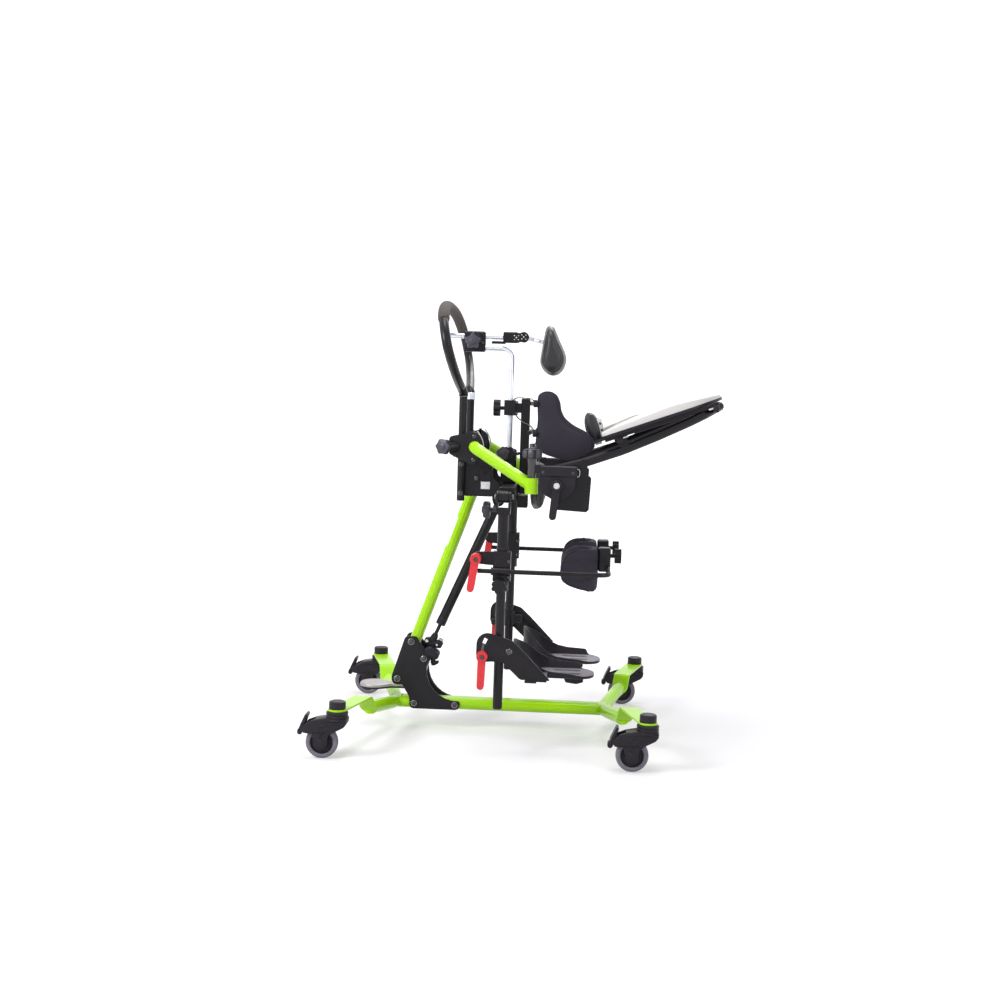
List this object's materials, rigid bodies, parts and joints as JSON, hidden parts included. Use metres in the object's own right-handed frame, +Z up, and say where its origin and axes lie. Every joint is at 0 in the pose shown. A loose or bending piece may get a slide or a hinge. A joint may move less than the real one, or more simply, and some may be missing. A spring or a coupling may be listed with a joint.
{
  "type": "standing frame",
  "caption": "Paediatric standing frame: wheeled base, tilting back frame, padded head, trunk, hip and knee supports, foot plates, a slanted tray and a push handle.",
  "frame": {"origin": "on the floor, below the centre of the whole frame's box", "axes": "+X the way the user faces, +Y to the user's left, +Z up"},
  "size_m": [0.9622, 0.77, 1.0841],
  "materials": {
    "lime_enamel": "glossy lime green powder coat on steel tube",
    "black_enamel": "satin black powder coat on steel and cast clamps",
    "black_nylon": "moulded black nylon, fine grain",
    "grip_foam": "closed-cell foam sleeve, matt dark grey",
    "neoprene": "knit-faced neoprene over foam",
    "dark_vinyl": "soft vinyl over foam",
    "red_nylon": "moulded red nylon",
    "grey_tyre": "grey non-marking rubber tyre on a dark hub",
    "bright_aluminium": "satin aluminium",
    "tray_plastic": "pale moulded plastic tray",
    "pedal_metal": "ribbed cast pedal"
  },
  "bodies": {
    "base": {"base_frame": "lime_enamel", "gusset_near": "black_enamel", "gusset_far": "black_enamel", "mast": "lime_enamel"},
    "caster_rear_near": {"caster_rear_near_fork": "black_nylon"},
    "wheel_rear_near": {"caster_rear_near_wheel": "grey_tyre"},
    "brake_rear_near": {"caster_rear_near_brake": "black_nylon"},
    "caster_rear_far": {"caster_rear_far_fork": "black_nylon"},
    "wheel_rear_far": {"caster_rear_far_wheel": "grey_tyre"},
    "brake_rear_far": {"caster_rear_far_brake": "black_nylon"},
    "caster_front_near": {"caster_front_near_fork": "black_nylon"},
    "wheel_front_near": {"caster_front_near_wheel": "grey_tyre"},
    "brake_front_near": {"caster_front_near_brake": "black_nylon"},
    "caster_front_far": {"caster_front_far_fork": "black_nylon"},
    "wheel_front_far": {"caster_front_far_wheel": "grey_tyre"},
    "brake_front_far": {"caster_front_far_brake": "black_nylon"},
    "foot_pedal": {"foot_pedal": "pedal_metal"},
    "tilt_frame": {"back_frame": "black_enamel", "hip_beam": "black_enamel", "push_handle": "black_enamel", "handle_grip": "grip_foam", "trunk_bar": "black_enamel", "hip_pad": "neoprene", "arm_bracket_near": "black_enamel", "arm_bracket_far": "black_enamel"},
    "gas_spring_rod": {"gas_spring_rod": "black_enamel"},
    "gas_spring_cylinder": {"gas_spring_cylinder": "black_enamel"},
    "arms": {"arm_near": "lime_enamel", "arm_far": "lime_enamel"},
    "tray_carriers": {"tray_carrier_near": "black_enamel", "tray_carrier_far": "black_enamel"},
    "tray": {"tray_frame": "black_enamel", "tray_top": "tray_plastic", "elbow_pad_near": "dark_vinyl", "elbow_pad_far": "dark_vinyl"},
    "head_post": {"head_post": "bright_aluminium", "head_clamp": "black_nylon"},
    "head_bar": {"head_bar": "bright_aluminium"},
    "head_pad": {"head_link": "bright_aluminium", "head_pad": "dark_vinyl"},
    "tray_lever_near": {"tray_lever_near": "black_nylon"},
    "side_pad_near": {"side_pad_near": "neoprene"},
    "leg_upper_near": {"leg_upper_near": "black_enamel"},
    "leg_lower_near": {"leg_lower_near": "black_enamel"},
    "knee_near": {"knee_rod_near": "black_enamel", "knee_pad_near": "neoprene"},
    "knee_lever_near": {"knee_lever_near": "red_nylon"},
    "foot_near": {"foot_bracket_near": "black_enamel", "foot_plate_near": "black_nylon"},
    "foot_lever_near": {"foot_lever_near": "red_nylon"},
    "tray_lever_far": {"tray_lever_far": "black_nylon"},
    "side_pad_far": {"side_pad_far": "neoprene"},
    "leg_upper_far": {"leg_upper_far": "black_enamel"},
    "leg_lower_far": {"leg_lower_far": "black_enamel"},
    "knee_far": {"knee_rod_far": "black_enamel", "knee_pad_far": "neoprene"},
    "knee_lever_far": {"knee_lever_far": "red_nylon"},
    "foot_far": {"foot_bracket_far": "black_enamel", "foot_plate_far": "black_nylon"},
    "foot_lever_far": {"foot_lever_far": "red_nylon"}
  },
  "joints": [
    {"name": "caster_rear_near_swivel", "type": "hinge", "parent": "base", "child": "caster_rear_near", "pos_m": [-0.385, -0.36, 0.107], "axis": [0, 0, 1], "continuous": true},
    {"name": "wheel_rear_near_roll", "type": "hinge", "parent": "caster_rear_near", "child": "wheel_rear_near", "pos_m": [-0.4186, -0.36, 0.0375], "axis": [0, 1, 0], "continuous": true},
    {"name": "brake_rear_near_press", "type": "hinge", "parent": "caster_rear_near", "child": "brake_rear_near", "pos_m": [-0.456, -0.36, 0.097], "axis": [0, 1, 0], "range_deg": [0, 12]},
    {"name": "caster_rear_far_swivel", "type": "hinge", "parent": "base", "child": "caster_rear_far", "pos_m": [-0.385, 0.36, 0.107], "axis": [0, 0, 1], "continuous": true},
    {"name": "wheel_rear_far_roll", "type": "hinge", "parent": "caster_rear_far", "child": "wheel_rear_far", "pos_m": [-0.4186, 0.36, 0.0375], "axis": [0, 1, 0], "continuous": true},
    {"name": "brake_rear_far_press", "type": "hinge", "parent": "caster_rear_far", "child": "brake_rear_far", "pos_m": [-0.456, 0.36, 0.097], "axis": [0, 1, 0], "range_deg": [0, 12]},
    {"name": "caster_front_near_swivel", "type": "hinge", "parent": "base", "child": "caster_front_near", "pos_m": [0.324, -0.36, 0.107], "axis": [0, 0, 1], "continuous": true},
    {"name": "wheel_front_near_roll", "type": "hinge", "parent": "caster_front_near", "child": "wheel_front_near", "pos_m": [0.2904, -0.36, 0.0375], "axis": [0, 1, 0], "continuous": true},
    {"name": "brake_front_near_press", "type": "hinge", "parent": "caster_front_near", "child": "brake_front_near", "pos_m": [0.253, -0.36, 0.097], "axis": [0, 1, 0], "range_deg": [0, 12]},
    {"name": "caster_front_far_swivel", "type": "hinge", "parent": "base", "child": "caster_front_far", "pos_m": [0.324, 0.36, 0.107], "axis": [0, 0, 1], "continuous": true},
    {"name": "wheel_front_far_roll", "type": "hinge", "parent": "caster_front_far", "child": "wheel_front_far", "pos_m": [0.2904, 0.36, 0.0375], "axis": [0, 1, 0], "continuous": true},
    {"name": "brake_front_far_press", "type": "hinge", "parent": "caster_front_far", "child": "brake_front_far", "pos_m": [0.253, 0.36, 0.097], "axis": [0, 1, 0], "range_deg": [0, 12]},
    {"name": "foot_pedal_press", "type": "hinge", "parent": "base", "child": "foot_pedal", "pos_m": [-0.224, 0, 0.177], "axis": [0, -1, 0], "range_deg": [0, 8]},
    {"name": "frame_tilt", "type": "hinge", "parent": "base", "child": "tilt_frame", "pos_m": [-0.102, 0, 0.639], "axis": [0, -1, 0], "range_deg": [-10, 20]},
    {"name": "gas_spring_swing", "type": "hinge", "parent": "base", "child": "gas_spring_rod", "pos_m": [-0.224, 0, 0.177], "axis": [0, 1, 0], "range_deg": [-1, 1.5]},
    {"name": "gas_spring_stroke", "type": "slide", "parent": "gas_spring_rod", "child": "gas_spring_cylinder", "axis": [0.3972, 0, 0.9178], "range_m": [-0.014, 0.027]},
    {"name": "arm_swing", "type": "hinge", "parent": "tilt_frame", "child": "arms", "pos_m": [-0.102, 0, 0.718], "axis": [0, -1, 0], "range_deg": [-2, 12]},
    {"name": "tray_height", "type": "slide", "parent": "arms", "child": "tray_carriers", "axis": [0, 0, 1], "range_m": [-0.009, 0.028]},
    {"name": "tray_tilt", "type": "hinge", "parent": "tray_carriers", "child": "tray", "pos_m": [0.098, 0, 0.638], "axis": [0, -1, 0], "range_deg": [-20, 3]},
    {"name": "head_height", "type": "slide", "parent": "tilt_frame", "child": "head_post", "axis": [0, 0, 1], "range_m": [-0.007, 0.045]},
    {"name": "head_reach", "type": "slide", "parent": "head_post", "child": "head_bar", "axis": [1, 0, 0], "range_m": [-0.014, 0.03]},
    {"name": "head_tilt", "type": "hinge", "parent": "head_bar", "child": "head_pad", "pos_m": [0.001, 0, 0.99], "axis": [0, 1, 0], "range_deg": [-20, 20]},
    {"name": "tray_lever_near_turn", "type": "hinge", "parent": "tray_carriers", "child": "tray_lever_near", "pos_m": [0.098, -0.25, 0.638], "axis": [0, 1, 0], "range_deg": [-5, 30]},
    {"name": "side_pad_near_slide", "type": "slide", "parent": "tilt_frame", "child": "side_pad_near", "axis": [0, -1, 0], "range_m": [-0.008, 0.025]},
    {"name": "leg_near_swing", "type": "hinge", "parent": "tilt_frame", "child": "leg_upper_near", "pos_m": [-0.024, -0.25, 0.607], "axis": [-1, 0, 0], "range_deg": [0, 15]},
    {"name": "leg_near_length", "type": "slide", "parent": "leg_upper_near", "child": "leg_lower_near", "axis": [0, 0, 1], "range_m": [-0.06, 0.008]},
    {"name": "knee_near_reach", "type": "slide", "parent": "leg_upper_near", "child": "knee_near", "axis": [1, 0, 0], "range_m": [-0.05, 0.03]},
    {"name": "knee_lever_near_turn", "type": "hinge", "parent": "leg_upper_near", "child": "knee_lever_near", "pos_m": [-0.084, -0.25, 0.462], "axis": [0, 1, 0], "range_deg": [-5, 60]},
    {"name": "foot_near_angle", "type": "hinge", "parent": "leg_lower_near", "child": "foot_near", "pos_m": [0, -0.274, 0.246], "axis": [0, -1, 0], "range_deg": [-5, 20]},
    {"name": "foot_lever_near_turn", "type": "hinge", "parent": "leg_lower_near", "child": "foot_lever_near", "pos_m": [-0.062, -0.274, 0.235], "axis": [0, 1, 0], "range_deg": [-10, 60]},
    {"name": "tray_lever_far_turn", "type": "hinge", "parent": "tray_carriers", "child": "tray_lever_far", "pos_m": [0.098, 0.25, 0.638], "axis": [0, 1, 0], "range_deg": [-5, 30]},
    {"name": "side_pad_far_slide", "type": "slide", "parent": "tilt_frame", "child": "side_pad_far", "axis": [0, 1, 0], "range_m": [-0.008, 0.025]},
    {"name": "leg_far_swing", "type": "hinge", "parent": "tilt_frame", "child": "leg_upper_far", "pos_m": [-0.024, 0.25, 0.607], "axis": [1, 0, 0], "range_deg": [0, 15]},
    {"name": "leg_far_length", "type": "slide", "parent": "leg_upper_far", "child": "leg_lower_far", "axis": [0, 0, 1], "range_m": [-0.06, 0.008]},
    {"name": "knee_far_reach", "type": "slide", "parent": "leg_upper_far", "child": "knee_far", "axis": [1, 0, 0], "range_m": [-0.05, 0.03]},
    {"name": "knee_lever_far_turn", "type": "hinge", "parent": "leg_upper_far", "child": "knee_lever_far", "pos_m": [-0.084, 0.25, 0.462], "axis": [0, 1, 0], "range_deg": [-5, 60]},
    {"name": "foot_far_angle", "type": "hinge", "parent": "leg_lower_far", "child": "foot_far", "pos_m": [0, 0.274, 0.246], "axis": [0, -1, 0], "range_deg": [-5, 20]},
    {"name": "foot_lever_far_turn", "type": "hinge", "parent": "leg_lower_far", "child": "foot_lever_far", "pos_m": [-0.062, 0.274, 0.235], "axis": [0, 1, 0], "range_deg": [-10, 60]}
  ],
  "couplings": [
    {"joint": "gas_spring_swing", "follows": "frame_tilt", "ratio": 0.055},
    {"joint": "gas_spring_stroke", "follows": "frame_tilt", "m_per_rad": 0.0728}
  ]
}
